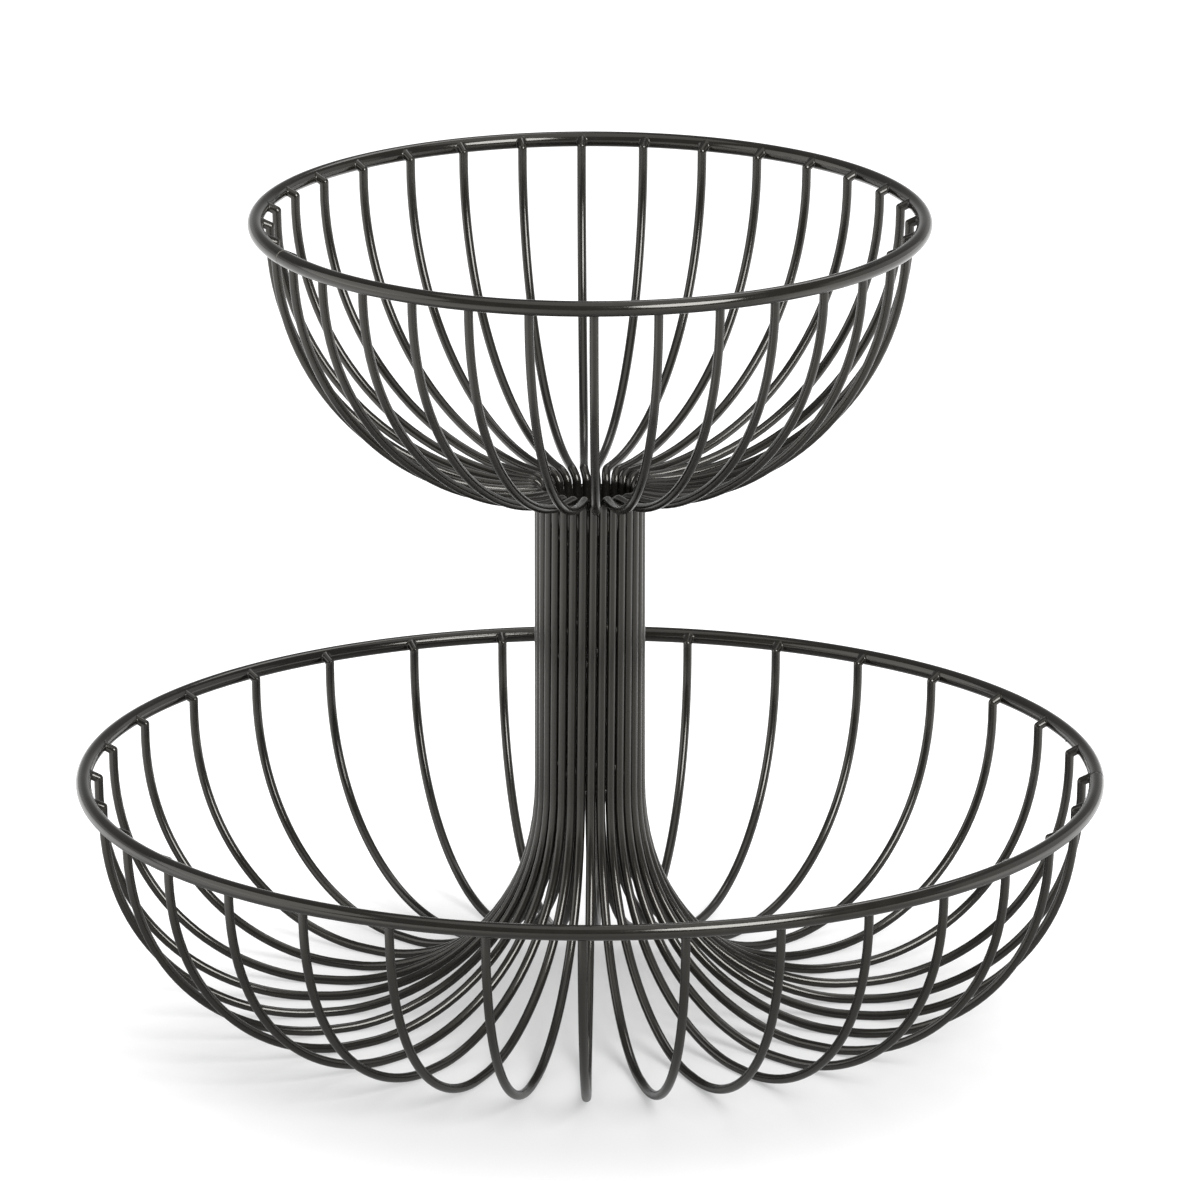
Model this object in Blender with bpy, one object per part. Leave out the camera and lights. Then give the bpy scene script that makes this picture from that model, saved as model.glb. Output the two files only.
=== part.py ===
"""Two-tier fruit stand made of bent wire.

Thirty-two bent ribs and two round rims, all of round steel wire under a black powder coat. Each rib
is one continuous wire: it leaves the upper rim, curves down into the upper bowl, turns down into the
stem, flares out to its foot on the table, and curves up to the lower rim. Neighbouring ribs are
spot welded side by side in the stem, and each end of a rib is butt welded to the inside of a rim.

Metres, +Z up, the table at Z = 0, the axis of the stand on Z, the front towards -Y.
Run it with: blender --background --python part.py
"""

import math

import bmesh
import bpy

# Wire
RIB_COUNT = 32
RIB_WIRE_DIAMETER = 0.0034
RIM_WIRE_DIAMETER = 0.0057

# Overall sizes
OVERALL_HEIGHT = 0.3025
UPPER_RIM_OUTER_DIAMETER = 0.250
LOWER_RIM_OUTER_DIAMETER = 0.380
LOWER_RIM_TOP_HEIGHT = 0.0903

# Stem and bowls
STEM_OUTER_DIAMETER = 0.0408
UPPER_BOWL_UNDERSIDE_HEIGHT = 0.1983
NECK_INSIDE_RADIUS = 0.0028
FLARE_START_HEIGHT = 0.0870
FOOT_CIRCLE_DIAMETER = 0.1998
FOOT_LENGTH = 0.006

# Each rib's ends, at the rims
LEG_LENGTH = 0.00025
CORNER_INSIDE_RADIUS = 0.0003
WELD_GAP = 0.0003

# How full each curve is: its handles, as shares of the curve's own rise and run
UPPER_BOWL_RISE_SHARE = 0.55
UPPER_BOWL_RUN_SHARE = 0.542
FLARE_RISE_SHARE = 0.715
FLARE_RUN_SHARE = 0.386
LOWER_BOWL_RISE_SHARE = 0.661
LOWER_BOWL_RUN_SHARE = 0.482

# How finely the shapes are cut into facets
CORNER_STEPS = 2
NECK_STEPS = 3
BOWL_STEPS = 7
FLARE_STEPS = 6
RIB_SIDES = 6
RIM_SIDES = 8
RIM_STEPS = 2 * RIB_COUNT

# Finish, as measured on the photographed stand
COAT_COLOUR = (0.0125, 0.0116, 0.010, 1.0)
RIB_ROUGHNESS = 0.18
RIM_ROUGHNESS = 0.14

# Worked out from the sizes above
RIB_RADIUS = RIB_WIRE_DIAMETER / 2
RIM_RADIUS = RIM_WIRE_DIAMETER / 2
CORNER_RADIUS = CORNER_INSIDE_RADIUS + RIB_RADIUS
NECK_RADIUS = NECK_INSIDE_RADIUS + RIB_RADIUS
STEM_RADIUS = STEM_OUTER_DIAMETER / 2 - RIB_RADIUS
UPPER_RIM_CENTRE = (UPPER_RIM_OUTER_DIAMETER / 2 - RIM_RADIUS, OVERALL_HEIGHT - RIM_RADIUS)
LOWER_RIM_CENTRE = (LOWER_RIM_OUTER_DIAMETER / 2 - RIM_RADIUS, LOWER_RIM_TOP_HEIGHT - RIM_RADIUS)
RIB_PITCH = math.tau / RIB_COUNT
FRONT = -math.pi / 2


def clear_scene():
    for obj in list(bpy.data.objects):
        bpy.data.objects.remove(obj, do_unlink=True)


def coat(name, roughness):
    """Black powder coat over the steel wire."""
    material = bpy.data.materials.new(name)
    material.use_nodes = True
    shader = material.node_tree.nodes["Principled BSDF"]
    shader.inputs["Base Color"].default_value = COAT_COLOUR
    shader.inputs["Roughness"].default_value = roughness
    shader.inputs["Metallic"].default_value = 0.0
    material.diffuse_color = COAT_COLOUR
    return material


def straight(start, end):
    """A path of two stations, each (radius, height, heading outwards, heading upwards)."""
    run = end[0] - start[0]
    rise = end[1] - start[1]
    length = math.hypot(run, rise)
    return [(*point, run / length, rise / length) for point in (start, end)]


def arc(centre, radius, start_angle, turn, steps):
    """Stations along an arc, which turns left for a positive turn and right for a negative one."""
    side = math.copysign(1, turn)
    stations = []
    for step in range(steps + 1):
        angle = start_angle + turn * step / steps
        outwards = math.cos(angle)
        upwards = math.sin(angle)
        point = (centre[0] + radius * outwards, centre[1] + radius * upwards)
        stations.append((*point, -side * upwards, side * outwards))
    return stations


def bezier(start, start_handle, end_handle, end, steps):
    """Stations along a cubic curve from start to end."""
    knots = (start, start_handle, end_handle, end)
    stations = []
    for step in range(steps + 1):
        t = step / steps
        s = 1 - t
        weights = (s**3, 3 * s * s * t, 3 * s * t * t, t**3)
        point = [sum(w * knot[axis] for w, knot in zip(weights, knots)) for axis in (0, 1)]
        slopes = (s * s, 2 * s * t, t * t)
        legs = list(zip(knots, knots[1:]))
        heading = [sum(w * (b[axis] - a[axis]) for w, (a, b) in zip(slopes, legs)) for axis in (0, 1)]
        length = math.hypot(*heading)
        stations.append((*point, heading[0] / length, heading[1] / length))
    return stations


def joined(*pieces):
    """One path from pieces that each start where the last one ended."""
    path = list(pieces[0])
    for piece in pieces[1:]:
        path += piece[1:]
    return path


def end_at_rim(rim_centre):
    """The end of a rib at a rim, from the weld inwards and round the corner to straight down."""
    weld = (rim_centre[0] - RIM_RADIUS - WELD_GAP, rim_centre[1])
    corner_start = (weld[0] - LEG_LENGTH, weld[1])
    corner_centre = (corner_start[0], corner_start[1] - CORNER_RADIUS)
    corner = arc(corner_centre, CORNER_RADIUS, math.pi / 2, math.pi / 2, CORNER_STEPS)
    return joined(straight(weld, corner_start), corner)


def backwards(path):
    return [(r, z, -outwards, -upwards) for r, z, outwards, upwards in reversed(path)]


def rib_path():
    """The centreline of one rib, from the upper rim to the lower rim."""
    upper_end = end_at_rim(UPPER_RIM_CENTRE)
    lower_end = backwards(end_at_rim(LOWER_RIM_CENTRE))

    bowl_top = upper_end[-1][:2]
    bowl_floor = (STEM_RADIUS + NECK_RADIUS, UPPER_BOWL_UNDERSIDE_HEIGHT + RIB_RADIUS)
    rise = bowl_top[1] - bowl_floor[1]
    run = bowl_top[0] - bowl_floor[0]
    upper_bowl = bezier(
        bowl_top,
        (bowl_top[0], bowl_top[1] - UPPER_BOWL_RISE_SHARE * rise),
        (bowl_floor[0] + UPPER_BOWL_RUN_SHARE * run, bowl_floor[1]),
        bowl_floor,
        BOWL_STEPS,
    )

    neck_centre = (bowl_floor[0], bowl_floor[1] - NECK_RADIUS)
    neck = arc(neck_centre, NECK_RADIUS, math.pi / 2, math.pi / 2, NECK_STEPS)
    flare_top = (STEM_RADIUS, FLARE_START_HEIGHT)
    stem = straight(neck[-1][:2], flare_top)

    foot_radius = FOOT_CIRCLE_DIAMETER / 2
    foot_inner = (foot_radius - FOOT_LENGTH / 2, RIB_RADIUS)
    foot_outer = (foot_radius + FOOT_LENGTH / 2, RIB_RADIUS)
    rise = flare_top[1] - foot_inner[1]
    run = foot_inner[0] - flare_top[0]
    flare = bezier(
        flare_top,
        (flare_top[0], flare_top[1] - FLARE_RISE_SHARE * rise),
        (foot_inner[0] - FLARE_RUN_SHARE * run, foot_inner[1]),
        foot_inner,
        FLARE_STEPS,
    )
    foot = straight(foot_inner, foot_outer)

    lower_top = lower_end[0][:2]
    rise = lower_top[1] - foot_outer[1]
    run = lower_top[0] - foot_outer[0]
    lower_bowl = bezier(
        foot_outer,
        (foot_outer[0] + LOWER_BOWL_RUN_SHARE * run, foot_outer[1]),
        (lower_top[0], lower_top[1] - LOWER_BOWL_RISE_SHARE * rise),
        lower_top,
        BOWL_STEPS,
    )
    return joined(upper_end, upper_bowl, neck, stem, flare, foot, lower_bowl, lower_end)


def rib_section():
    """The outline of a rib's wire, (sideways, along the rib's own plane).

    Its flats lie a full radius above and below the centre, so a rib rests on a flat at its foot.
    """
    flat_height = math.sin(math.tau / RIB_SIDES)
    angles = [math.tau * side / RIB_SIDES for side in range(RIB_SIDES)]
    return [(RIB_RADIUS * math.cos(a), RIB_RADIUS * math.sin(a) / flat_height) for a in angles]


def rim_section():
    """The outline of a rim's wire, with flats at the outside, inside, top and bottom."""
    half = math.pi / RIM_SIDES
    corner_radius = RIM_RADIUS / math.cos(half)
    angles = [half + math.tau * side / RIM_SIDES for side in range(RIM_SIDES)]
    return [(corner_radius * math.cos(a), corner_radius * math.sin(a)) for a in angles]


def skin(bm, loops, closed):
    """Faces between neighbouring loops of vertices, with capped ends unless the loops close up."""
    pairs = list(zip(loops, loops[1:]))
    if closed:
        pairs.append((loops[-1], loops[0]))
    else:
        bm.faces.new(loops[0])
        bm.faces.new(loops[-1])
    for loop, following in pairs:
        for here in range(len(loop)):
            there = (here + 1) % len(loop)
            bm.faces.new((loop[here], loop[there], following[there], following[here]))
    bmesh.ops.recalc_face_normals(bm, faces=bm.faces)


def mesh_from(bm, name):
    mesh = bpy.data.meshes.new(name)
    bm.to_mesh(mesh)
    bm.free()
    return mesh


def rib_mesh():
    """One rib, in the XZ plane with its outer ends towards +X."""
    bm = bmesh.new()
    loops = []
    for radius, height, outwards, upwards in rib_path():
        loop = []
        for sideways, across in rib_section():
            loop.append(bm.verts.new((radius - across * upwards, sideways, height + across * outwards)))
        loops.append(loop)
    skin(bm, loops, closed=False)
    return mesh_from(bm, "rib")


def rim_mesh(name, centre):
    """A closed ring of wire round the stand's axis."""
    bm = bmesh.new()
    loops = []
    for step in range(RIM_STEPS):
        angle = FRONT + math.tau * step / RIM_STEPS
        loop = []
        for outwards, upwards in rim_section():
            radius = centre[0] + outwards
            place = (radius * math.cos(angle), radius * math.sin(angle), centre[1] + upwards)
            loop.append(bm.verts.new(place))
        loops.append(loop)
    skin(bm, loops, closed=True)
    return mesh_from(bm, name)


def place(name, mesh, material, parent, turn):
    obj = bpy.data.objects.new(name, mesh)
    bpy.context.scene.collection.objects.link(obj)
    obj.data.materials.clear()
    obj.data.materials.append(material)
    obj.parent = parent
    obj.rotation_euler.z = turn
    return obj


def build():
    clear_scene()
    stand = bpy.data.objects.new("fruit_stand", None)
    bpy.context.scene.collection.objects.link(stand)

    rim_coat = coat("rim_powder_coat", RIM_ROUGHNESS)
    place("upper_rim", rim_mesh("upper_rim", UPPER_RIM_CENTRE), rim_coat, stand, 0.0)
    place("lower_rim", rim_mesh("lower_rim", LOWER_RIM_CENTRE), rim_coat, stand, 0.0)

    rib_coat = coat("rib_powder_coat", RIB_ROUGHNESS)
    rib = rib_mesh()
    for number in range(RIB_COUNT):
        place(f"rib_{number + 1:02d}", rib, rib_coat, stand, FRONT + number * RIB_PITCH)


build()
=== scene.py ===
"""Two-tier fruit stand of bent wire: its finished look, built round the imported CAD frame.

Every rib is one round wire that is bent to shape and welded to both rims. Between its two ends the
path of a rib is the one in the part's source, with finer steps, and it leans sideways as the real
stand is twisted. Metres, +Z up, the table at Z = 0, the front towards -Y.
"""

import math

import bmesh
import bpy
from mathutils import Matrix, Vector, noise


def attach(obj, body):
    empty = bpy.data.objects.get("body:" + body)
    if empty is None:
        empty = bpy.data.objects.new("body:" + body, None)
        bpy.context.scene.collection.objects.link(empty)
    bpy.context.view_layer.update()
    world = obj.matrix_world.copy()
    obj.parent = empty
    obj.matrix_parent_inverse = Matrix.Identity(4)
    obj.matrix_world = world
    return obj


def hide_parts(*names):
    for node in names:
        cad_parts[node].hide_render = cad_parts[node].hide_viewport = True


# Wire
RIB_COUNT = 32
RIB_WIRE_DIAMETER = 0.0034
RIM_WIRE_DIAMETER = 0.0057

# Overall sizes
OVERALL_HEIGHT = 0.3025
UPPER_RIM_OUTER_DIAMETER = 0.250
LOWER_RIM_OUTER_DIAMETER = 0.380
LOWER_RIM_TOP_HEIGHT = 0.0903

# Stem and bowls
STEM_OUTER_DIAMETER = 0.0408
UPPER_BOWL_UNDERSIDE_HEIGHT = 0.1983
NECK_INSIDE_RADIUS = 0.0028
FLARE_START_HEIGHT = 0.0870
FOOT_CIRCLE_DIAMETER = 0.1998
FOOT_LENGTH = 0.006

# How full each curve is: its handles, as shares of the curve's own rise and run
UPPER_BOWL_RISE_SHARE = 0.55
UPPER_BOWL_RUN_SHARE = 0.542
FLARE_RISE_SHARE = 0.715
FLARE_RUN_SHARE = 0.386
LOWER_BOWL_RISE_SHARE = 0.661
LOWER_BOWL_RUN_SHARE = 0.482

# Where a rib turns out to a rim: a short leg slopes up from a sharp bend to the rim's inner face
RIB_TO_RIM_OFFSET = 0.00255
LEG_SLOPE = math.radians(25.5)
LEG_DROP = 0.0002
BEND_OUTER_RADIUS = 0.0015
BEND_INNER_RADIUS = 0.00015
BEND_SPACE = 0.003

# How far the ribs stand sideways of even spacing, towards +X at the front, as the stand is twisted
UPPER_RIM_SWAY = 0.0022
NECK_SWAY = 0.0023
STEM_TOP_SWAY = 0.00125
STEM_FOOT_SWAY = 0.00025
FOOT_SWAY = -0.0016
LOWER_RIM_SWAY = -0.0019

# How far each rib strays from that by itself
UPPER_RIM_STRAY = 0.0006
STEM_STRAY = 0.00012
FOOT_STRAY = 0.0006
LOWER_RIM_STRAY = 0.0009

# How far the ribs are off the centre together, and at which turn from the front they are most so
UPPER_RIM_SHIFT = 0.0009
UPPER_RIM_SHIFT_TURN = math.radians(137)
FOOT_SHIFT = 0.0008
FOOT_SHIFT_TURN = math.radians(36)
LOWER_RIM_SHIFT = 0.0011
LOWER_RIM_SHIFT_TURN = math.radians(100)

# Welds between ribs and rims: a fillet round the rib's end, partly made of lumps
FILLET_LENGTH = 0.0007
FILLET_WIDTH = 0.0006
WELD_DEPTH = 0.0007
LUMP_SHARE = 0.5
LUMP_FINENESS = 1.3

# Seams where a rim's two ends meet, at turns from the front: grooves, with a painted highlight line in the
# upper one
UPPER_SEAM_TURN = math.radians(-65.1)
LOWER_SEAM_TURN = math.radians(89.2)
SEAM_HALF_WIDTH = 0.0005
SEAM_DEPTH = 0.00016
SEAM_RING_SHARES = (-1.6, -1.0, -0.5, 0.0, 0.5, 1.0, 1.6)
SEAM_SPACE_SHARE = 2.0
SEAM_LUMP_SHARE = 0.6
SEAM_LUMP_FINENESS = 2.0
# The painted highlight round the upper seam: a pale strip in place of light caught there, its width and
# lift
SEAM_HIGHLIGHT_WIDTH = 0.00045
SEAM_HIGHLIGHT_LIFT = 0.00001

# Weld spatter on the lower rim: each bead's turn from the front, turn round the wire and size
SPATTER_RADIUS = 0.00035
SPATTER_BEADS = (
    (math.radians(105.6), math.radians(205), 1.0),
    (math.radians(106.2), math.radians(190), 0.7),
    (math.radians(113.6), math.radians(165), 0.8),
    (math.radians(114.0), math.radians(180), 0.6),
)

# Welds between neighbouring ribs of the stem: rows of small ones, and a long one under the bends
SPOT_WELD_ROWS = 3
SPOT_WELD_START = 0.012
SPOT_WELD_PITCH = 0.045
SPOT_WELD_STRAY = 0.02
SPOT_WELD_LUMP_SHARE = 0.25
SPOT_WELD_LUMP_FINENESS = 1.5
SPOT_WELD_HALF_SIZES = (0.0008, 0.0005, 0.0013)
NECK_WELD_HALF_SIZES = (0.0008, 0.0006, 0.0045)
NECK_WELD_DROP = 0.0074

# Where in the noise each use of it begins and how far it steps, so that no two ribs or welds match
SWAY_NOISE_STEPS = (1.7, 5.3)
SWAY_NOISE_LEVEL = 0.4
UPPER_WELD_NOISE_STEP = 1.7
LOWER_WELD_NOISE_STEP = 2.3
LOWER_WELD_NOISE_START = 50
FILLET_NOISE_PLACE = (0.3, 0.7)
BEND_NOISE_PLACE = (2.1, 0.2)
SPOT_WELD_NOISE_STEPS = (1.37, 3.1)
SPOT_WELD_NOISE_LEVEL = 0.5

# How finely the shapes are cut
BEND_STEPS = 6
FILLET_STEPS = 5
NECK_STEPS = 12
BOWL_STEPS = 30
FLARE_STEPS = 24
RIB_SIDES = 20
RIM_SIDES = 28
RIM_STEPS = 288
BLOB_SUBDIVISIONS = 2

# Worked out from the sizes above
RIB_RADIUS = RIB_WIRE_DIAMETER / 2
RIM_RADIUS = RIM_WIRE_DIAMETER / 2
NECK_RADIUS = NECK_INSIDE_RADIUS + RIB_RADIUS
STEM_RADIUS = STEM_OUTER_DIAMETER / 2 - RIB_RADIUS
UPPER_RIM_CENTRE = (UPPER_RIM_OUTER_DIAMETER / 2 - RIM_RADIUS, OVERALL_HEIGHT - RIM_RADIUS)
LOWER_RIM_CENTRE = (LOWER_RIM_OUTER_DIAMETER / 2 - RIM_RADIUS, LOWER_RIM_TOP_HEIGHT - RIM_RADIUS)
RIB_PITCH = math.tau / RIB_COUNT
FRONT = -math.pi / 2

# Camera, as fitted to the photographed stand
LENS = 388.35
SENSOR_WIDTH = 36.0
CAMERA_DISTANCE = 4.6892
CAMERA_ELEVATION = 0.2855
CAMERA_AIM = Vector((0.00019, 0.0, 0.1594))
CAMERA_CLIP_START = 0.5
CAMERA_CLIP_END = 60.0

# Coat: the two colours that its cloudiness runs between, its gloss, and its fine orange peel
COAT_DARK = (0.010, 0.0093, 0.0079)
COAT_LIGHT = (0.0135, 0.0125, 0.0105)
# How many times lighter the coat of the painted seam highlight is
SEAM_HIGHLIGHT_BRIGHTNESS = 13.0
COAT_IOR = 1.6
COAT_TINT = (1.0, 0.975, 0.915, 1.0)
RIM_ROUGHNESS = 0.14
RIB_ROUGHNESS = 0.18
SEAM_HIGHLIGHT_ROUGHNESS = 0.3
ROUGHNESS_SPREAD = 0.03
RIM_PATTERN_OFFSET = 0.0
RIB_PATTERN_OFFSET = 3.7
SEAM_HIGHLIGHT_PATTERN_OFFSET = 1.9
CLOUD_FINENESS = 90.0
CLOUD_DETAIL = 3.0
CLOUD_RANGE = (0.3, 0.7)
PEEL_FINENESS = 1400.0
PEEL_DETAIL = 2.0
PEEL_STRENGTH = 0.3
PEEL_HEIGHT = 0.00001

# Floor: grey paint with a white lift, which fades towards the middle of the shadow
FLOOR_RADIUS = 40.0
FLOOR_SIDES = 96
FLOOR_GREY = 0.5
SHADOW_CENTRE = (0.0, -0.06, 0.0)
SHADOW_RANGE = (0.10, 0.28)
SHADOW_WHITE = 0.37

# What gloss sees of the floor's white: all behind and to the left, little in front, none by the stand
FLOOR_HEADING = (-0.97, -0.26, 0.0)
FLOOR_LEFT_RANGE = (0.3, 0.9)
BACKWARDS = (0.0, 1.0, 0.0)
FLOOR_BACK_RANGE = (-0.64, -0.2)
FLOOR_FRONT_WHITE = 0.15
STAND_FOOT = (0.0, 0.0, 0.0)
FLOOR_NEAR_RANGE = (0.2, 0.4)

# World: a dim grey room, with a white backdrop that gloss sees low down behind the stand
ROOM_GREY = 0.2
BACKDROP_HEADING = (-0.57, 0.82, 0.0)
BACKDROP_SIDE_RANGE = (0.1, 0.6)
BACKDROP_TOP_RANGE = (0.1, 0.35)
BACKDROP_WHITE = 0.5

# Lamps: azimuth and elevation in degrees, distance, width, height, power
LAMPS = {
    "key_softbox": (33, 31, 2.0, 1.15, 1.3, 42),
    "left_softbox": (-80, 20, 2.0, 2.3, 1.8, 14),
    "top_softbox": (20, 84, 1.8, 2.0, 2.0, 7.5),
    "right_reflector": (112, 12, 2.2, 2.6, 1.8, 5.5),
    "hair_light": (162, 50, 2.2, 0.9, 0.9, 4.3),
}


def bezier(start, start_handle, end_handle, end, steps):
    """Stations (radius, height, heading outwards, heading upwards) along a cubic curve."""
    knots = (start, start_handle, end_handle, end)
    stations = []
    for step in range(steps + 1):
        t = step / steps
        s = 1 - t
        weights = (s**3, 3 * s * s * t, 3 * s * t * t, t**3)
        point = [sum(w * knot[axis] for w, knot in zip(weights, knots)) for axis in (0, 1)]
        slopes = (s * s, 2 * s * t, t * t)
        legs = list(zip(knots, knots[1:]))
        heading = [sum(w * (b[axis] - a[axis]) for w, (a, b) in zip(slopes, legs)) for axis in (0, 1)]
        length = math.hypot(*heading)
        stations.append((*point, heading[0] / length, heading[1] / length))
    return stations


def arc(centre, radius, start_angle, turn, steps):
    """Stations along an arc that turns left."""
    stations = []
    for step in range(steps + 1):
        angle = start_angle + turn * step / steps
        outwards = math.cos(angle)
        upwards = math.sin(angle)
        stations.append((centre[0] + radius * outwards, centre[1] + radius * upwards, -upwards, outwards))
    return stations


def rib_stations():
    """The centreline of a rib's long run, from under the upper rim to under the lower rim."""
    bowl_top = (
        UPPER_RIM_CENTRE[0] - RIM_RADIUS - RIB_TO_RIM_OFFSET,
        UPPER_RIM_CENTRE[1] - BEND_SPACE,
    )
    bowl_floor = (STEM_RADIUS + NECK_RADIUS, UPPER_BOWL_UNDERSIDE_HEIGHT + RIB_RADIUS)
    rise = bowl_top[1] - bowl_floor[1]
    run = bowl_top[0] - bowl_floor[0]
    upper_bowl = bezier(
        bowl_top,
        (bowl_top[0], bowl_top[1] - UPPER_BOWL_RISE_SHARE * rise),
        (bowl_floor[0] + UPPER_BOWL_RUN_SHARE * run, bowl_floor[1]),
        bowl_floor,
        BOWL_STEPS,
    )
    neck_centre = (bowl_floor[0], bowl_floor[1] - NECK_RADIUS)
    neck = arc(neck_centre, NECK_RADIUS, math.pi / 2, math.pi / 2, NECK_STEPS)

    flare_top = (STEM_RADIUS, FLARE_START_HEIGHT)
    foot_radius = FOOT_CIRCLE_DIAMETER / 2
    foot_inner = (foot_radius - FOOT_LENGTH / 2, RIB_RADIUS)
    foot_outer = (foot_radius + FOOT_LENGTH / 2, RIB_RADIUS)
    rise = flare_top[1] - foot_inner[1]
    run = foot_inner[0] - flare_top[0]
    flare = bezier(
        flare_top,
        (flare_top[0], flare_top[1] - FLARE_RISE_SHARE * rise),
        (foot_inner[0] - FLARE_RUN_SHARE * run, foot_inner[1]),
        foot_inner,
        FLARE_STEPS,
    )

    lower_top = (
        LOWER_RIM_CENTRE[0] - RIM_RADIUS - RIB_TO_RIM_OFFSET,
        LOWER_RIM_CENTRE[1] - BEND_SPACE,
    )
    rise = lower_top[1] - foot_outer[1]
    run = lower_top[0] - foot_outer[0]
    lower_bowl = bezier(
        foot_outer,
        (foot_outer[0] + LOWER_BOWL_RUN_SHARE * run, foot_outer[1]),
        (lower_top[0], lower_top[1] - LOWER_BOWL_RISE_SHARE * rise),
        lower_top,
        BOWL_STEPS,
    )
    return upper_bowl, neck[1:], flare, lower_bowl


def eased(start, end, share):
    """From start to end, slow at both."""
    return start + (end - start) * share * share * (3 - 2 * share)


def noise_at(*place):
    """Smooth noise, from about -1 to 1."""
    return noise.noise(Vector(place))


def rib_sways(number):
    """How far a rib stands sideways at six places, from the upper rim down to the lower rim."""
    turn = (number - 1) * RIB_PITCH
    upper = UPPER_RIM_SWAY + UPPER_RIM_SHIFT * math.cos(turn - UPPER_RIM_SHIFT_TURN)
    foot = FOOT_SWAY + FOOT_SHIFT * math.cos(turn - FOOT_SHIFT_TURN)
    lower = LOWER_RIM_SWAY + LOWER_RIM_SHIFT * math.cos(turn - LOWER_RIM_SHIFT_TURN)
    rib_step, place_step = SWAY_NOISE_STEPS
    upper_stray, stem_stray, foot_stray, lower_stray = [
        stray * noise_at(number * rib_step, place * place_step, SWAY_NOISE_LEVEL)
        for place, stray in enumerate((UPPER_RIM_STRAY, STEM_STRAY, FOOT_STRAY, LOWER_RIM_STRAY))
    ]
    return (
        upper + upper_stray,
        NECK_SWAY + stem_stray,
        STEM_TOP_SWAY + stem_stray,
        STEM_FOOT_SWAY + stem_stray,
        foot + foot_stray,
        lower + lower_stray,
    )


def wire_angles(sides):
    """Even steps round a wire."""
    return [math.tau * side / sides for side in range(sides)]


def run_rings(sways):
    """Rings of points (radius, sideways, height) round a rib's long run."""
    upper, neck, stem_top, stem_foot, foot, lower = sways
    starts = (upper, neck, stem_foot, foot)
    ends = (neck, stem_top, foot, lower)
    rings = []
    for stations, start, end in zip(rib_stations(), starts, ends):
        for index, (radius, height, outwards, upwards) in enumerate(stations):
            sway = eased(start, end, index / (len(stations) - 1))
            ring = []
            for angle in wire_angles(RIB_SIDES):
                sideways = sway + RIB_RADIUS * math.cos(angle)
                across = RIB_RADIUS * math.sin(angle)
                ring.append((radius - across * upwards, sideways, height + across * outwards))
            rings.append(ring)
    return rings


def rim_face(rim_centre, up, sideways):
    """The point of a rim's inner face at a height over the rim's centre."""
    rise = max(-RIM_RADIUS, min(RIM_RADIUS, up))
    depth = math.sqrt(RIM_RADIUS**2 - rise**2)
    return (math.sqrt(rim_centre[0] ** 2 - sideways**2) - depth, sideways, rim_centre[1] + rise)


def bend_fibre(rim_centre, inward):
    """Where the line of a rib's surface at this offset from its axis turns into the leg."""
    rise = LEG_DROP + RIB_TO_RIM_OFFSET * math.tan(LEG_SLOPE)
    mitre = (1 - math.sin(LEG_SLOPE)) / math.cos(LEG_SLOPE)
    return (
        rim_centre[0] - RIM_RADIUS - RIB_TO_RIM_OFFSET - inward,
        rim_centre[1] - rise + inward * mitre,
    )


def weld_curve(rim_centre, angle, sway, seed):
    """One line of the weld's surface, from the leg to the rim's face: start, corner and end."""
    lump = noise_at(LUMP_FINENESS * math.cos(angle), LUMP_FINENESS * math.sin(angle), seed)
    spread = FILLET_WIDTH * (1 + LUMP_SHARE * noise_at(seed, *FILLET_NOISE_PLACE) + lump)
    inward = -RIB_RADIUS * math.sin(angle)
    sideways = RIB_RADIUS * math.cos(angle)
    reach = 1 / math.cos(LEG_SLOPE)
    corner = rim_face(rim_centre, inward * reach, sway + sideways)
    wider = 1 + spread / RIB_RADIUS
    end = rim_face(rim_centre, inward * reach * wider, sway + sideways * wider)
    turn = bend_fibre(rim_centre, inward)
    along = (corner[0] - turn[0]) * math.cos(LEG_SLOPE) + (corner[2] - turn[1]) * math.sin(LEG_SLOPE)
    along = max(along - FILLET_LENGTH * (1 + LUMP_SHARE * lump), BEND_OUTER_RADIUS)
    start = (
        turn[0] + along * math.cos(LEG_SLOPE),
        sway + sideways,
        turn[1] + along * math.sin(LEG_SLOPE),
    )
    return Vector(start), Vector(corner), Vector(end)


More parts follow.
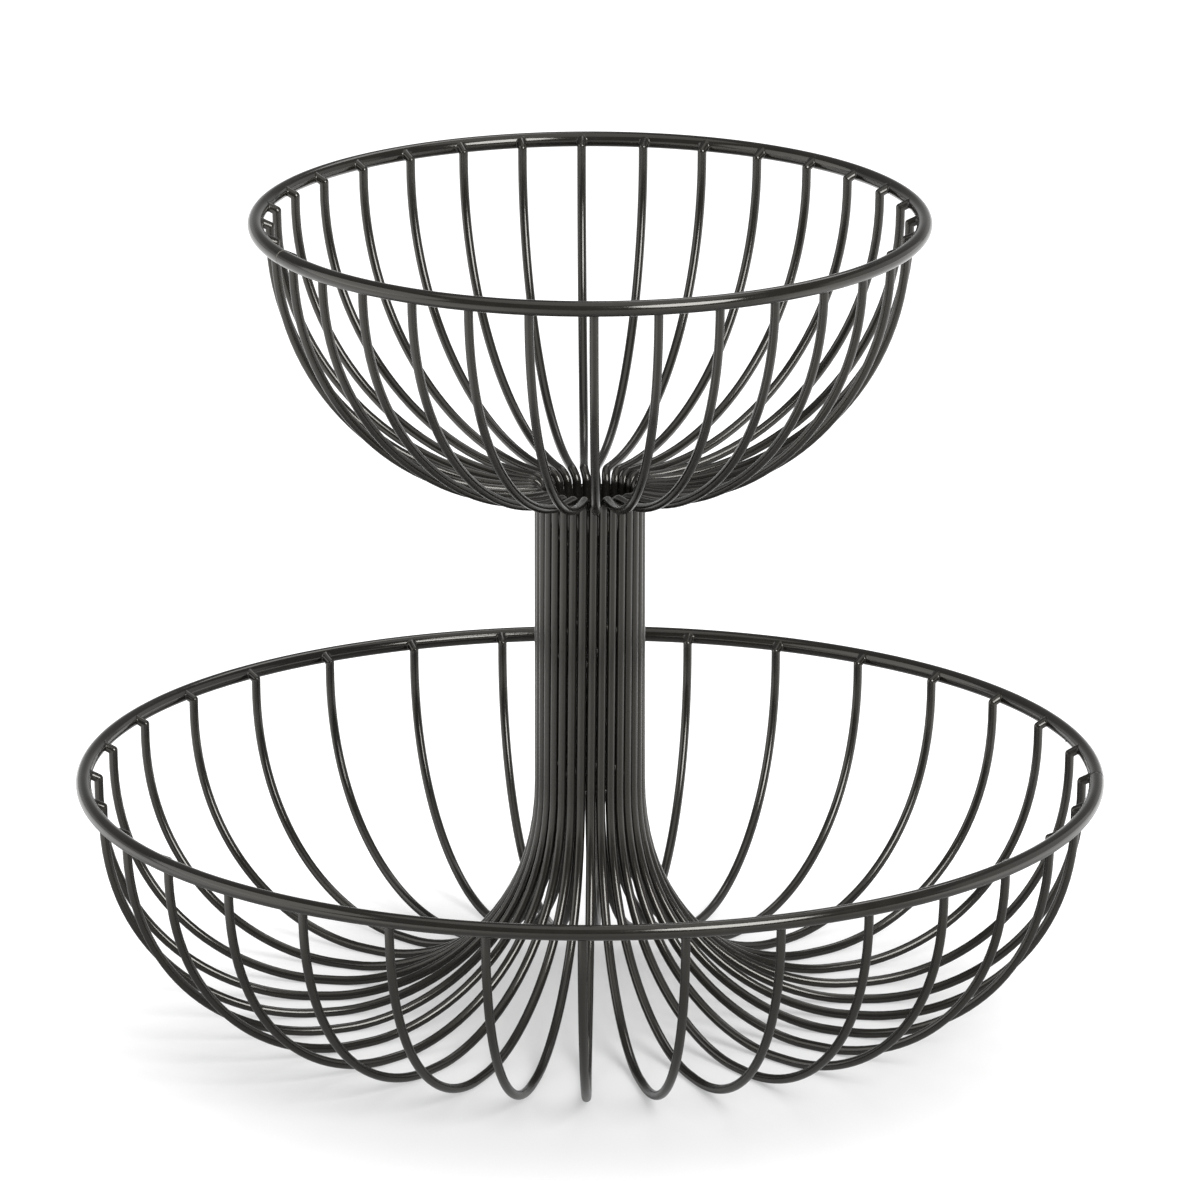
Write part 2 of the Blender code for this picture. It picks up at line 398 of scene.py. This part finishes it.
def end_rings(rim_centre, sway, seed):
    """Rings from the weld inside a rim, along the short leg and round the bend, to straight down."""
    curves = [weld_curve(rim_centre, angle, sway, seed) for angle in wire_angles(RIB_SIDES)]
    centre = Vector((rim_centre[0], sway, rim_centre[1]))
    inside = []
    for _, _, end in curves:
        centre.y = end.y
        inside.append(tuple(end + (centre - end).normalized() * WELD_DEPTH))
    rings = [inside]
    for step in range(FILLET_STEPS + 1):
        t = 1 - step / FILLET_STEPS
        weights = ((1 - t) ** 2, 2 * t * (1 - t), t * t)
        rings.append([tuple(sum((w * p for w, p in zip(weights, curve)), Vector())) for curve in curves])

    size = 1 + LUMP_SHARE * noise_at(seed, *BEND_NOISE_PLACE)
    straight_up = math.pi / 2
    for step in range(BEND_STEPS + 1):
        turn = straight_up + LEG_SLOPE + (straight_up - LEG_SLOPE) * step / BEND_STEPS
        ring = []
        for angle in wire_angles(RIB_SIDES):
            inward = -RIB_RADIUS * math.sin(angle)
            share = (inward + RIB_RADIUS) / RIB_WIRE_DIAMETER
            radius = BEND_INNER_RADIUS + share * (BEND_OUTER_RADIUS * size - BEND_INNER_RADIUS)
            corner = bend_fibre(rim_centre, inward)
            tangent = radius * math.tan((straight_up - LEG_SLOPE) / 2)
            middle = (
                corner[0] + tangent * math.cos(LEG_SLOPE) + radius * math.sin(LEG_SLOPE),
                corner[1] + tangent * math.sin(LEG_SLOPE) - radius * math.cos(LEG_SLOPE),
            )
            ring.append((
                middle[0] + radius * math.cos(turn),
                sway + RIB_RADIUS * math.cos(angle),
                middle[1] + radius * math.sin(turn),
            ))
        rings.append(ring)
    return rings


def skin(bm, rings, closed):
    """Quads between neighbouring rings of points, with capped ends unless the rings close up."""
    loops = [[bm.verts.new(point) for point in ring] for ring in rings]
    pairs = list(zip(loops, loops[1:]))
    if closed:
        pairs.append((loops[-1], loops[0]))
    else:
        bm.faces.new(loops[0])
        bm.faces.new(loops[-1])
    for loop, following in pairs:
        for here in range(len(loop)):
            there = (here + 1) % len(loop)
            bm.faces.new((loop[here], loop[there], following[there], following[here]))
    bmesh.ops.recalc_face_normals(bm, faces=bm.faces)


def piece(name, bm, material, slot, *nodes):
    """A finished smooth mesh that rides on the stand and stands for its CAD nodes."""
    for face in bm.faces:
        face.smooth = True
    mesh = bpy.data.meshes.new(name)
    bm.to_mesh(mesh)
    bm.free()
    mesh.materials.append(material)
    obj = bpy.data.objects.new(name, mesh)
    bpy.context.scene.collection.objects.link(obj)
    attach(obj, "root")
    if nodes:
        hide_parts(*nodes)
    return obj


def far_end(rings):
    """The rings of an end turned round to close the run, which reaches the lower rim upside down.

    Along the run a point keeps its side of the wire: the side that faces out at the top of the upper
    bowl faces in at the top of the lower bowl.
    """
    return [[ring[-side % RIB_SIDES] for side in range(RIB_SIDES)] for ring in reversed(rings)]


def make_rib(number, material):
    """One rib, with a weld at each end, turned to its place round the stand."""
    sways = rib_sways(number)
    upper = end_rings(UPPER_RIM_CENTRE, sways[0], UPPER_WELD_NOISE_STEP * number)
    lower_seed = LOWER_WELD_NOISE_STEP * number + LOWER_WELD_NOISE_START
    lower = end_rings(LOWER_RIM_CENTRE, sways[-1], lower_seed)
    bm = bmesh.new()
    skin(bm, upper + run_rings(sways) + far_end(lower), closed=False)
    turn = FRONT + (number - 1) * RIB_PITCH
    bm.transform(Matrix.Rotation(turn, 4, "Z"))
    return piece(f"wire_rib_{number:02d}", bm, material, "rib_coat", f"rib_{number:02d}")


def rim_ring(centre, turn, wire_radii):
    """A ring of points round a rim's wire, at this turn about the stand's axis."""
    ring = []
    for angle, wire_radius in zip(wire_angles(RIM_SIDES), wire_radii):
        radius = centre[0] + wire_radius * math.cos(angle)
        height = centre[1] + wire_radius * math.sin(angle)
        ring.append((radius * math.cos(turn), radius * math.sin(turn), height))
    return ring


def make_rim(name, centre, seam_turn, material):
    """A closed ring of round wire, with an uneven groove where its ends meet."""
    seam = FRONT + seam_turn
    half = SEAM_HALF_WIDTH / centre[0]
    lumps = [
        1 + SEAM_LUMP_SHARE * noise_at(
            SEAM_LUMP_FINENESS * math.cos(angle), SEAM_LUMP_FINENESS * math.sin(angle), seam_turn)
        for angle in wire_angles(RIM_SIDES)
    ]

    def away(turn):
        """How many half widths of the seam this turn is from its middle."""
        return abs((turn - seam + math.pi) % math.tau - math.pi) / half

    turns = [FRONT + math.tau * step / RIM_STEPS for step in range(RIM_STEPS)]
    turns = [turn for turn in turns if away(turn) > SEAM_SPACE_SHARE]
    turns += [seam + half * share for share in SEAM_RING_SHARES]
    turns.sort(key=lambda turn: (turn - seam) % math.tau)

    rings = []
    for turn in turns:
        sink = SEAM_DEPTH * max(0.0, 1 - away(turn))
        rings.append(rim_ring(centre, turn, [RIM_RADIUS - sink * lump for lump in lumps]))
    bm = bmesh.new()
    skin(bm, rings, closed=True)
    return piece(f"wire_{name}", bm, material, "rim_coat", name)


def make_painted_seam_highlight(name, centre, seam_turn, material):
    """A painted highlight: a pale strip of coat round a rim where its ends meet, in place of light caught
    there.
    """
    half = SEAM_HIGHLIGHT_WIDTH / 2 / centre[0]
    wire_radii = [RIM_RADIUS + SEAM_HIGHLIGHT_LIFT] * RIM_SIDES
    rings = [rim_ring(centre, FRONT + seam_turn + step * half, wire_radii) for step in (-1, 0, 1)]
    bm = bmesh.new()
    skin(bm, rings, closed=False)
    return piece(f"{name}_painted_seam_highlight", bm, material, "rim_coat")


def add_blob(bm, seat):
    """A ball of radius 1 under a transform, and its points."""
    made = bmesh.ops.create_icosphere(bm, subdivisions=BLOB_SUBDIVISIONS, radius=1.0, matrix=seat)
    return made["verts"]


def make_spot_welds(material):
    """Welds in the grooves between neighbouring ribs: small ones down the stem and one at the neck."""
    bm = bmesh.new()
    reach = STEM_RADIUS * math.cos(RIB_PITCH / 2)
    top = UPPER_BOWL_UNDERSIDE_HEIGHT
    groove_step, row_step = SPOT_WELD_NOISE_STEPS
    for groove in range(RIB_COUNT):
        turn = FRONT + (groove + 0.5) * RIB_PITCH
        welds = [(top - NECK_WELD_DROP, NECK_WELD_HALF_SIZES)]
        for row in range(SPOT_WELD_ROWS):
            stray = noise_at(groove * groove_step, row * row_step, SPOT_WELD_NOISE_LEVEL)
            height = FLARE_START_HEIGHT + SPOT_WELD_START + SPOT_WELD_PITCH * row + SPOT_WELD_STRAY * stray
            welds.append((height, SPOT_WELD_HALF_SIZES))
        for row, (height, half_sizes) in enumerate(welds):
            share = (height - FLARE_START_HEIGHT) / (top - FLARE_START_HEIGHT)
            sway = STEM_FOOT_SWAY + share * (STEM_TOP_SWAY - STEM_FOOT_SWAY)
            seat = Matrix.Rotation(turn, 4, "Z") @ Matrix.Translation((reach, sway, height))
            for vert in add_blob(bm, Matrix()):
                place = vert.co * SPOT_WELD_LUMP_FINENESS + Vector((groove, row, 0.0))
                lump = 1 + SPOT_WELD_LUMP_SHARE * noise.noise(place)
                vert.co = seat @ Vector([c * s * lump for c, s in zip(vert.co, half_sizes)])
    return piece("stem_spot_welds", bm, material, "rib_coat")


def make_spatter(material):
    """Beads of weld spatter under the coat, on the inner side of the lower rim."""
    bm = bmesh.new()
    for turn, wire_turn, size in SPATTER_BEADS:
        radius = LOWER_RIM_CENTRE[0] + RIM_RADIUS * math.cos(wire_turn)
        height = LOWER_RIM_CENTRE[1] + RIM_RADIUS * math.sin(wire_turn)
        seat = Matrix.Rotation(FRONT + turn, 4, "Z") @ Matrix.Translation((radius, 0.0, height))
        add_blob(bm, seat @ Matrix.Scale(SPATTER_RADIUS * size, 4))
    return piece("weld_spatter", bm, material, "rim_coat")


def powder_coat(name, roughness, offset, shade=1.0):
    """Satin black powder coat: near black, with fine orange peel and a slightly uneven sheen. Its colour
    is multiplied by shade, and a large shade makes the pale painted seam highlight.
    """
    material = bpy.data.materials.new(name)
    material.use_nodes = True
    nodes = material.node_tree.nodes
    links = material.node_tree.links
    shader = nodes["Principled BSDF"]
    shader.inputs["Metallic"].default_value = 0.0
    shader.inputs["IOR"].default_value = COAT_IOR
    shader.inputs["Specular Tint"].default_value = COAT_TINT

    where = nodes.new("ShaderNodeTexCoord")
    shift = nodes.new("ShaderNodeMapping")
    shift.inputs["Location"].default_value = (offset, offset, offset)
    links.new(where.outputs["Object"], shift.inputs["Vector"])

    cloud = nodes.new("ShaderNodeTexNoise")
    cloud.inputs["Scale"].default_value = CLOUD_FINENESS
    cloud.inputs["Detail"].default_value = CLOUD_DETAIL
    links.new(shift.outputs["Vector"], cloud.inputs["Vector"])
    tone = nodes.new("ShaderNodeValToRGB")
    for stop, place, colour in zip(tone.color_ramp.elements, CLOUD_RANGE, (COAT_DARK, COAT_LIGHT)):
        stop.position = place
        stop.color = (*(channel * shade for channel in colour), 1.0)
    links.new(cloud.outputs["Fac"], tone.inputs["Fac"])
    links.new(tone.outputs["Color"], shader.inputs["Base Color"])

    sheen = nodes.new("ShaderNodeMapRange")
    sheen.inputs["From Min"].default_value = CLOUD_RANGE[0]
    sheen.inputs["From Max"].default_value = CLOUD_RANGE[1]
    sheen.inputs["To Min"].default_value = roughness - ROUGHNESS_SPREAD
    sheen.inputs["To Max"].default_value = roughness + ROUGHNESS_SPREAD
    links.new(cloud.outputs["Fac"], sheen.inputs["Value"])
    links.new(sheen.outputs["Result"], shader.inputs["Roughness"])

    peel = nodes.new("ShaderNodeTexNoise")
    peel.inputs["Scale"].default_value = PEEL_FINENESS
    peel.inputs["Detail"].default_value = PEEL_DETAIL
    links.new(shift.outputs["Vector"], peel.inputs["Vector"])
    bump = nodes.new("ShaderNodeBump")
    bump.inputs["Strength"].default_value = PEEL_STRENGTH
    bump.inputs["Distance"].default_value = PEEL_HEIGHT
    links.new(peel.outputs["Fac"], bump.inputs["Height"])
    links.new(bump.outputs["Normal"], shader.inputs["Normal"])
    return material


def combined(nodes, links, operation, first, second):
    """The output of a math node fed by two others."""
    node = nodes.new("ShaderNodeMath")
    node.operation = operation
    links.new(first, node.inputs[0])
    links.new(second, node.inputs[1])
    return node.outputs[0]


def smooth_ramp(nodes, links, value, value_range, start, end):
    """From start to end, smoothly, while the value goes through its range."""
    node = nodes.new("ShaderNodeMapRange")
    node.interpolation_type = "SMOOTHSTEP"
    node.inputs["From Min"].default_value = value_range[0]
    node.inputs["From Max"].default_value = value_range[1]
    node.inputs["To Min"].default_value = start
    node.inputs["To Max"].default_value = end
    links.new(value, node.inputs["Value"])
    return node.outputs["Result"]


def towards(nodes, links, heading, aim):
    """How nearly a heading points along the aim: 1 where it does, 0 square to it."""
    node = nodes.new("ShaderNodeVectorMath")
    node.operation = "DOT_PRODUCT"
    node.inputs[1].default_value = aim
    links.new(heading, node.inputs[0])
    return node.outputs["Value"]


def background_rays(nodes, links, mirrored):
    """How white each ray sees the background: straight ones fully, gloss and glass as mirrored says."""
    path = nodes.new("ShaderNodeLightPath")
    gloss = path.outputs["Is Glossy Ray"]
    glass = path.outputs["Is Transmission Ray"]
    indirect = combined(nodes, links, "MAXIMUM", gloss, glass)
    seen = combined(nodes, links, "MULTIPLY", indirect, mirrored)
    return combined(nodes, links, "MAXIMUM", path.outputs["Is Camera Ray"], seen)


def distance_from(nodes, links, place, centre):
    """How far a place is from the centre."""
    node = nodes.new("ShaderNodeVectorMath")
    node.operation = "DISTANCE"
    node.inputs[1].default_value = centre
    links.new(place, node.inputs[0])
    return node.outputs["Value"]


def make_floor():
    """A wide pale floor that keeps the stand's shadow."""
    bm = bmesh.new()
    bmesh.ops.create_circle(bm, cap_ends=True, segments=FLOOR_SIDES, radius=FLOOR_RADIUS)
    mesh = bpy.data.meshes.new("floor")
    bm.to_mesh(mesh)
    bm.free()
    floor = bpy.data.objects.new("floor", mesh)
    bpy.context.scene.collection.objects.link(floor)

    material = bpy.data.materials.new("floor_white")
    material.use_nodes = True
    nodes = material.node_tree.nodes
    links = material.node_tree.links
    nodes.remove(nodes["Principled BSDF"])
    paint = nodes.new("ShaderNodeBsdfDiffuse")
    paint.inputs["Color"].default_value = (FLOOR_GREY, FLOOR_GREY, FLOOR_GREY, 1)

    where = nodes.new("ShaderNodeNewGeometry").outputs["Position"]
    outwards = nodes.new("ShaderNodeVectorMath")
    outwards.operation = "NORMALIZE"
    links.new(where, outwards.inputs[0])
    leftwards = towards(nodes, links, outwards.outputs["Vector"], FLOOR_HEADING)
    backwards = towards(nodes, links, outwards.outputs["Vector"], BACKWARDS)
    left = smooth_ramp(nodes, links, leftwards, FLOOR_LEFT_RANGE, FLOOR_FRONT_WHITE, 1.0)
    back = smooth_ramp(nodes, links, backwards, FLOOR_BACK_RANGE, FLOOR_FRONT_WHITE, 1.0)
    around = combined(nodes, links, "MAXIMUM", left, back)
    from_foot = distance_from(nodes, links, where, STAND_FOOT)
    clear = smooth_ramp(nodes, links, from_foot, FLOOR_NEAR_RANGE, 0.0, 1.0)
    mirrored = combined(nodes, links, "MULTIPLY", around, clear)
    from_shadow = distance_from(nodes, links, where, SHADOW_CENTRE)
    white = smooth_ramp(nodes, links, from_shadow, SHADOW_RANGE, SHADOW_WHITE, 1.0)
    lift = nodes.new("ShaderNodeEmission")
    strength = combined(nodes, links, "MULTIPLY", background_rays(nodes, links, mirrored), white)
    links.new(strength, lift.inputs["Strength"])
    both = nodes.new("ShaderNodeAddShader")
    links.new(paint.outputs[0], both.inputs[0])
    links.new(lift.outputs[0], both.inputs[1])
    links.new(both.outputs[0], nodes["Material Output"].inputs["Surface"])
    mesh.materials.append(material)


def make_world():
    """A dim studio with a white backdrop, which gloss sees only low down behind the stand."""
    world = bpy.data.worlds.new("studio")
    bpy.context.scene.world = world
    world.use_nodes = True
    nodes = world.node_tree.nodes
    links = world.node_tree.links
    room = nodes["Background"]
    room.inputs["Color"].default_value = (ROOM_GREY, ROOM_GREY, ROOM_GREY, 1)
    white = nodes.new("ShaderNodeBackground")
    white.inputs["Color"].default_value = (1, 1, 1, 1)
    heading = nodes.new("ShaderNodeTexCoord")
    split = nodes.new("ShaderNodeSeparateXYZ")
    links.new(heading.outputs["Generated"], split.inputs[0])
    aligned = towards(nodes, links, heading.outputs["Generated"], BACKDROP_HEADING)
    back = smooth_ramp(nodes, links, aligned, BACKDROP_SIDE_RANGE, 0.0, BACKDROP_WHITE)
    low = smooth_ramp(nodes, links, split.outputs["Z"], BACKDROP_TOP_RANGE, 1.0, 0.0)
    behind = combined(nodes, links, "MULTIPLY", back, low)
    pick = nodes.new("ShaderNodeMixShader")
    links.new(background_rays(nodes, links, behind), pick.inputs["Fac"])
    links.new(room.outputs[0], pick.inputs[1])
    links.new(white.outputs[0], pick.inputs[2])
    links.new(pick.outputs[0], nodes["World Output"].inputs["Surface"])


def make_lamp(name, azimuth, elevation, distance, width, height, power):
    """A softbox that faces the stand. Azimuth 0 is the camera's side, and 90 is +X."""
    light = bpy.data.lights.new(name, "AREA")
    light.shape = "ELLIPSE"
    light.size = width
    light.size_y = height
    light.energy = power
    lamp = bpy.data.objects.new(name, light)
    bpy.context.scene.collection.objects.link(lamp)
    turn = math.radians(azimuth)
    rise = math.radians(elevation)
    away = Vector((math.sin(turn) * math.cos(rise), -math.cos(turn) * math.cos(rise), math.sin(rise)))
    lamp.location = away * distance + Vector((0, 0, OVERALL_HEIGHT / 2))
    lamp.rotation_mode = "QUATERNION"
    lamp.rotation_quaternion = (-away).to_track_quat("-Z", "Y")


def make_camera():
    """The fitted camera, level from side to side and looking down at the stand from the front."""
    camera = bpy.data.objects.new("camera", bpy.data.cameras.new("camera"))
    bpy.context.scene.collection.objects.link(camera)
    camera.data.lens = LENS
    camera.data.sensor_width = SENSOR_WIDTH
    camera.data.clip_start = CAMERA_CLIP_START
    camera.data.clip_end = CAMERA_CLIP_END
    back = Vector((0.0, -math.cos(CAMERA_ELEVATION), math.sin(CAMERA_ELEVATION)))
    camera.location = CAMERA_AIM + back * CAMERA_DISTANCE
    camera.rotation_euler = (math.pi / 2 - CAMERA_ELEVATION, 0.0, 0.0)
    bpy.context.scene.camera = camera


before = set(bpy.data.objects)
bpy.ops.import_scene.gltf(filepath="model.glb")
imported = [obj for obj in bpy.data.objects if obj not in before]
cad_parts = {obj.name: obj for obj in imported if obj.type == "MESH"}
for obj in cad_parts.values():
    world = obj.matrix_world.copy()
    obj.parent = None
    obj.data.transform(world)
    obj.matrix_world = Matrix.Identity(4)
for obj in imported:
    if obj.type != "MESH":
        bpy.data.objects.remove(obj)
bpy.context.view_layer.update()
bpy.context.scene.view_settings.view_transform = "Standard"

make_camera()
make_world()
make_floor()
for lamp_name, settings in LAMPS.items():
    make_lamp(lamp_name, *settings)

rim_coat = powder_coat("rim_powder_coat", RIM_ROUGHNESS, RIM_PATTERN_OFFSET)
rib_coat = powder_coat("rib_powder_coat", RIB_ROUGHNESS, RIB_PATTERN_OFFSET)
# Coat lightened into a painted highlight for the upper rim's seam
seam_highlight_coat = powder_coat("seam_highlight_coat", SEAM_HIGHLIGHT_ROUGHNESS, SEAM_HIGHLIGHT_PATTERN_OFFSET, SEAM_HIGHLIGHT_BRIGHTNESS)
make_rim("upper_rim", UPPER_RIM_CENTRE, UPPER_SEAM_TURN, rim_coat)
make_rim("lower_rim", LOWER_RIM_CENTRE, LOWER_SEAM_TURN, rim_coat)
for number in range(1, RIB_COUNT + 1):
    make_rib(number, rib_coat)
make_spot_welds(rib_coat)
make_spatter(rim_coat)
# Painted highlight: a pale strip round the upper rim's seam, in place of light caught there
make_painted_seam_highlight("upper_rim", UPPER_RIM_CENTRE, UPPER_SEAM_TURN, seam_highlight_coat)
